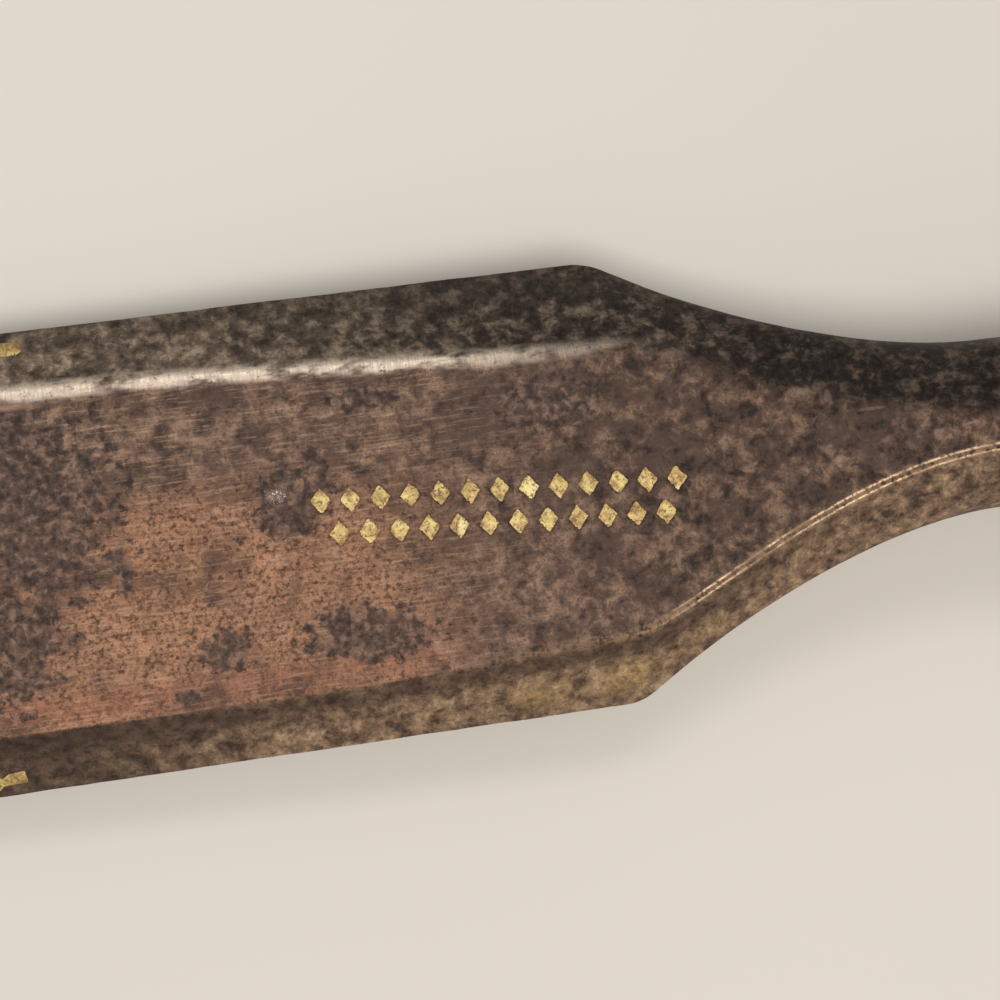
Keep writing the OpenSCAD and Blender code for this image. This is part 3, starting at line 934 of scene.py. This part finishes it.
def paint_leather():
    p = Paint("leather_washers")
    mottle = p.noise(2.2, 5, 0.65, warp=0.4)
    plies = p.noise(0.35, 3, 0.6, shape=(1, 14, 14), seed=3.0)
    pebble = p.noise(0.5, 4, 0.7, seed=5.0)
    colour = p.tones(mottle, (0.3, (58, 36, 23)), (0.5, (96, 62, 38)), (0.7, (132, 92, 60)))
    colour = p.blend(p.product(p.rise(plies, 0.5, 0.64), 0.5), colour, linear(52, 32, 21))
    seam = p.calc("FRACT", p.calc("DIVIDE", p.calc("SUBTRACT", p.along, HEAD_X), WASHER_THICKNESS))
    joint = p.most(p.rise(seam, 0.09, 0.02), p.rise(seam, 0.91, 0.98))
    colour = p.blend(p.product(joint, 0.6), colour, linear(36, 22, 15))
    roughness = p.total(0.48, p.product(pebble, 0.3))
    height = p.total(p.product(plies, 0.5), p.product(pebble, 0.5))
    return p.finish(colour, roughness, 0.0, height, 0.12)


def paint_gilt():
    p = Paint("gilt")
    mottle = p.noise(0.9, 4, 0.65, seed=2.0)
    speck = p.noise(0.25, 4, 0.7, seed=6.0)
    gilt_glint = p.noise(3.5, 2, 0.5, seed=8.0)
    colour = p.tones(mottle, (0.36, (138, 108, 64)), (0.5, (192, 162, 98)), (0.64, (220, 196, 128)))
    # Painted highlight: pale patches where the gilt catches the light
    colour = p.blend(p.rise(gilt_glint, 0.64, 0.7), colour, linear(232, 212, 148))
    colour = p.blend(p.product(p.rise(speck, 0.52, 0.6), 0.85), colour, linear(98, 72, 50))
    return p.finish(colour, 0.5, 0.3, speck, 0.05)


def paint_floor():
    """Pale paper. Far from the tool it fades into the horizon's colour, for the camera only."""
    p = Paint("paper")
    tone = p.tones(p.noise(160, 2), (0.35, FLOOR_TONE), (0.65, tuple(v + 4 for v in FLOOR_TONE)))
    p.finish(tone, 0.9, 0.0)
    paper = p.output.inputs[0].links[0].from_socket
    glow = p.make("Emission", {"Color": linear(*HORIZON_TONE)}).outputs[0]
    away = p.make("VectorMath", {0: p.at}, operation="LENGTH").outputs["Value"]
    camera = p.make("LightPath").outputs["Is Camera Ray"]
    share = p.product(p.rise(away, *FLOOR_FADE), camera)
    mix = p.make("MixShader", {0: share, 1: paper, 2: glow})
    p.tree.links.new(mix.outputs[0], p.output.inputs[0])
    return p.material


# Pieces behind the blade


def bore_radius(x):
    return MOUTH_RADIUS - SOCKET_WALL - SOCKET_SLOPE * (MOUTH_X - x)


def cone_radius(x):
    return WELD_RADIUS + SOCKET_SLOPE * (x - WELD_X)


# Hammer marks on the socket: depth, width and noise seed. Then the lap, where the rolled sheet
# closes: its depth, its place round the socket and its reach to both sides
HAMMER_MARKS = ((0.10, 6.5, 2.0), (0.04, 2.6, 4.0))
LAP_DEPTH = 0.22
LAP_ANGLE = math.pi * 1.06
LAP_REACH = 0.035


def forge_socket(material):
    """A rolled socket: flats from the hammer, and a lap down its underside."""
    outer = np.linspace(WELD_X, MOUTH_X - MOUTH_EASE, 90)
    inner = np.linspace(MOUTH_X - MOUTH_EASE, WELD_X + SOCKET_FLOOR, 30)
    outline = [(x, cone_radius(x)) for x in outer]
    outline += eased(MOUTH_X, cone_radius(MOUTH_X), MOUTH_EASE, [15, 35, 55, 75, 90])
    outline += [(MOUTH_X, bore_radius(MOUTH_X) + MOUTH_EASE)]
    outline += [(x, bore_radius(x)) for x in inner]

    def dent(x, r, a, points):
        outside = r > bore_radius(x) + 0.6
        fade = smooth((x - WELD_X) / 4) * smooth((MOUTH_X - x) / 1.5)
        hammered = sum(
            deep * (field(points, width, seed) + 0.6) for deep, width, seed in HAMMER_MARKS
        )
        lap = LAP_DEPTH * smooth(1 - abs(a - LAP_ANGLE) / LAP_REACH)
        return np.where(outside, np.clip(hammered, 0, None) * fade + lap * fade, 0)

    return turned("socket_forged", outline, material, 160, dent)


def grip_radius(x):
    first = lerp(COLLAR_RADIUS, GRIP_WAIST_RADIUS, smooth((x - GRIP_X) / (GRIP_WAIST_X - GRIP_X)))
    belly = lerp(GRIP_WAIST_RADIUS, BELLY_RADIUS, smooth((x - GRIP_WAIST_X) / (BELLY_X - GRIP_WAIST_X)))
    head = lerp(BELLY_RADIUS, HEAD_RADIUS, smooth((x - BELLY_X) / (HEAD_X - BELLY_X)))
    return np.where(x < GRIP_WAIST_X, first, np.where(x < BELLY_X, belly, head))


# Lines that the turner scored with the skew: places along the grip
SCORED_LINES = (271.5, 273.3, 357.5, 359.3)
SCORE_DEPTH = 0.35
SCORE_REACH = 0.45
# Knocks in the grip show where their noise passes the limit, and low waves are all over it
KNOCK_LIMIT = 0.42
KNOCK_DEPTH = 0.5
GRIP_WAVES = 0.03


def turn_handle(material):
    taper = [(x, bore_radius(x) - TAPER_CLEARANCE) for x in np.linspace(TAPER_TIP_X, GRIP_X, 24)]
    near = eased(GRIP_X, float(grip_radius(GRIP_X)), GRIP_ROUND, np.linspace(90, 0, 8), way=-1)
    x = np.linspace(GRIP_X + GRIP_ROUND, HEAD_X - GRIP_ROUND, 240)[1:-1]
    r = grip_radius(x)
    for place in SCORED_LINES:
        r = r - SCORE_DEPTH * smooth(1 - abs(x - place) / SCORE_REACH)
    far = eased(HEAD_X, float(grip_radius(HEAD_X)), GRIP_ROUND, np.linspace(0, 90, 8))
    tenon = [
        (HEAD_X, TENON_RADIUS),
        (TENON_END_X - TENON_PROUD / 2, TENON_RADIUS),
        (TENON_END_X, TENON_RADIUS - TENON_PROUD),
    ]
    outline = taper + near + list(zip(x, r)) + far + tenon

    def dent(x, r, a, points):
        on_grip = smooth((x - GRIP_X - 3) / 4) * smooth((HEAD_X - 3 - x) / 4)
        knocks = np.clip(field(points, 5.0, 1.5) - KNOCK_LIMIT, 0, 1) * KNOCK_DEPTH
        return on_grip * (knocks + GRIP_WAVES * (field(points, 9.0, 6.0) + 1))

    handle = turned("handle_turned", outline, material, 144, dent)
    saw_kerf(handle)
    return handle


def wedge_corners():
    """The wedge seen from the side, drawn on past the tenon's end."""
    slope = (WEDGE_THICKNESS - WEDGE_TIP) / 2 / (TENON_END_X - WEDGE_X)
    far = TENON_END_X + 1
    thick = WEDGE_THICKNESS / 2 + slope
    return [(WEDGE_X, -WEDGE_TIP / 2), (far, -thick), (far, thick), (WEDGE_X, WEDGE_TIP / 2)]


def saw_kerf(handle):
    """Cuts the kerf that the wedge fills into the tenon."""
    wide = TENON_RADIUS + 1
    profile = wedge_corners()
    points = [(x, -wide, AXIS_HEIGHT + z) for x, z in profile]
    points += [(x, wide, AXIS_HEIGHT + z) for x, z in profile]
    faces = [(0, 1, 2, 3), (7, 6, 5, 4), (0, 4, 5, 1), (1, 5, 6, 2), (2, 6, 7, 3), (3, 7, 4, 0)]
    cutter = add_mesh("kerf_cutter", lay(points), faces, handle.data.materials[0])
    cut = handle.modifiers.new("kerf", "BOOLEAN")
    cut.operation = "DIFFERENCE"
    cut.solver = "EXACT"
    cut.object = cutter
    bpy.context.view_layer.update()
    graph = bpy.context.evaluated_depsgraph_get()
    made = bpy.data.meshes.new_from_object(handle.evaluated_get(graph))
    handle.modifiers.clear()
    handle.data = made
    handle.data.set_sharp_from_angle(angle=math.radians(32))
    bpy.data.objects.remove(cutter)


BRUISE_DEPTH = 0.22
FRAY_DEPTH = 0.08


def stack_washer(number, material):
    """One leather washer, its edge bruised by the mallet."""
    near = HEAD_X + (number - 1) * WASHER_THICKNESS
    far = near + WASHER_THICKNESS
    side = WASHER_THICKNESS / 2 - WASHER_EASE

    def eased_rim(face, way, degrees):
        """Points between one face of the washer and its edge."""
        for a in np.radians(degrees):
            down = WASHER_EASE * (1 - math.sin(a))
            yield face + way * WASHER_EASE * (1 - math.cos(a)), WASHER_RADIUS - down

    outline = [(near, r) for r in np.linspace(WASHER_HOLE, WASHER_RADIUS - WASHER_EASE, 12)]
    outline += eased_rim(near, 1, [30, 60, 90])
    outline += [(near + WASHER_EASE + 2 * side * t, WASHER_RADIUS) for t in (0.33, 0.66, 1)]
    outline += eased_rim(far, -1, [60, 30, 0])
    outline += [(far, r) for r in np.linspace(WASHER_RADIUS - WASHER_EASE, WASHER_HOLE, 12)[1:]]

    def dent(x, r, a, points):
        rim = smooth((r - WASHER_RADIUS + 2.5) / 2)
        worn = BRUISE_DEPTH * (field(points * np.array([0.3, 1, 1]), 5.0, number) + 0.7)
        return rim * np.clip(worn + FRAY_DEPTH * (field(points, 1.6, number + 3) + 0.5), 0, None)

    return turned(f"washer_leather_{number}", outline, material, 120, dent, closed=True, sharp=50)


# Scene


def aim(piece, target):
    direction = Vector(target) - piece.location
    piece.rotation_euler = direction.to_track_quat("-Z", "Y").to_euler()


def lamp(name, place, target, size, power, colour):
    light = bpy.data.lights.new(name, "AREA")
    light.shape = "RECTANGLE"
    light.size, light.size_y = size
    light.energy = power
    light.color = colour
    piece = bpy.data.objects.new(name, light)
    bpy.context.scene.collection.objects.link(piece)
    piece.location = place
    aim(piece, target)


# The photograph's view, worked out from the blade's outline in it: the point at its middle, how far
# the camera stands towards the edge from straight above, how far away, and how the tool is turned
VIEW_X = 140.14
VIEW_Y = -0.18
VIEW_HEIGHT = 8.0
VIEW_LEAN = math.radians(-8.18)
VIEW_DISTANCE = 197.6
VIEW_ROLL = math.radians(7.67)
VIEW_ANGLE = math.radians(24)


def place_camera():
    data = bpy.data.cameras.new("camera")
    data.angle = VIEW_ANGLE
    data.clip_start = 0.01
    camera = bpy.data.objects.new("camera", data)
    bpy.context.scene.collection.objects.link(camera)
    bpy.context.scene.camera = camera
    target = Vector(lay([VIEW_X, VIEW_Y, 0]))
    target.z = VIEW_HEIGHT * MM
    away = Vector((math.sin(VIEW_LEAN), 0, math.cos(VIEW_LEAN)))
    ahead = -away
    level = (Vector((0, 1, 0)) - ahead * ahead.y).normalized()
    side = ahead.cross(level)
    up = level * math.cos(VIEW_ROLL) + side * math.sin(VIEW_ROLL)
    right = ahead.cross(up)
    turn = Matrix((right, up, away)).transposed().to_4x4()
    camera.matrix_world = Matrix.Translation(target + away * VIEW_DISTANCE * MM) @ turn
    return target


FLOOR_TONE = (220, 213, 203)
FLOOR_SIZE = 16.0
FLOOR_FADE = (350, 1600)
# The light from all round, and the colour that shows past the floor's edge
SKY_STRENGTH = 0.42
SKY_TONE = (250, 247, 242)
HORIZON_TONE = (221, 213, 202)
# Lamps: name, place in metres (x from the camera's target, y and z), size, power and colour
LAMPS = (
    ("key", (-0.15, -0.4, 1.75), (1.1, 0.7), 18.5, (1, 0.98, 0.96)),
    ("arris", (-0.05, 0.92, 1.36), (1.3, 0.35), 4.2, (1, 1, 1)),
)


def build_stage(target):
    half = FLOOR_SIZE / 2
    corners = [(-half, -half, 0), (half, -half, 0), (half, half, 0), (-half, half, 0)]
    floor = add_mesh("floor", corners, [(0, 1, 2, 3)], paint_floor())
    world = bpy.data.worlds.new("studio")
    world.use_nodes = True
    nodes, links = world.node_tree.nodes, world.node_tree.links
    sky = nodes["Background"]
    sky.inputs["Color"].default_value = linear(*SKY_TONE)
    sky.inputs["Strength"].default_value = SKY_STRENGTH
    seen = nodes.new("ShaderNodeBackground")
    seen.inputs["Color"].default_value = linear(*HORIZON_TONE)
    path, mix = nodes.new("ShaderNodeLightPath"), nodes.new("ShaderNodeMixShader")
    links.new(path.outputs["Is Camera Ray"], mix.inputs[0])
    links.new(sky.outputs[0], mix.inputs[1])
    links.new(seen.outputs[0], mix.inputs[2])
    links.new(mix.outputs[0], nodes["World Output"].inputs["Surface"])
    bpy.context.scene.world = world
    for name, (past, y, z), size, power, colour in LAMPS:
        lamp(name, (target.x + past, y, z), target, size, power, colour)


def main():
    bpy.context.scene.view_settings.view_transform = "Standard"
    target = place_camera()
    build_stage(target)

    iron = paint_blade()
    blade = forge_blade(iron, paint_steel("ground_bevel", across_blade=True))
    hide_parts("blade_body")
    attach(blade, "blade")
    socket = forge_socket(paint_socket())
    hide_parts("socket")
    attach(socket, "blade")
    gilt = paint_gilt()
    border = gild_border(gilt)
    dabs = [
        inlay("gilt_dab_left", [finely(DAB_LEFT)], gilt, 0.02),
        inlay("gilt_dab_right", [finely(DAB_RIGHT)], gilt, 0.02),
    ]
    for piece in [border, *dabs]:
        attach(piece, "blade")

    facing = frame["nodes"]["steel_facing"]
    facing.data.materials.clear()
    facing.data.materials.append(paint_steel("lapped_back"))

    handle = turn_handle(paint_wood("handle_wood", (92, 52, 27), (134, 84, 46), (164, 112, 66), 2.3, 1.0))
    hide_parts("handle")
    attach(handle, "handle")
    leather = paint_leather()
    for number in range(1, WASHER_COUNT + 1):
        washer = stack_washer(number, leather)
        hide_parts(f"leather_washer_{number}")
        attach(washer, "handle")
    wedge = frame["nodes"]["tenon_wedge"]
    wedge.data.materials.clear()
    wedge.data.materials.append(
        paint_wood("wedge_wood", (146, 104, 62), (184, 142, 92), (208, 170, 120), 1.4, 0.2)
    )


main()
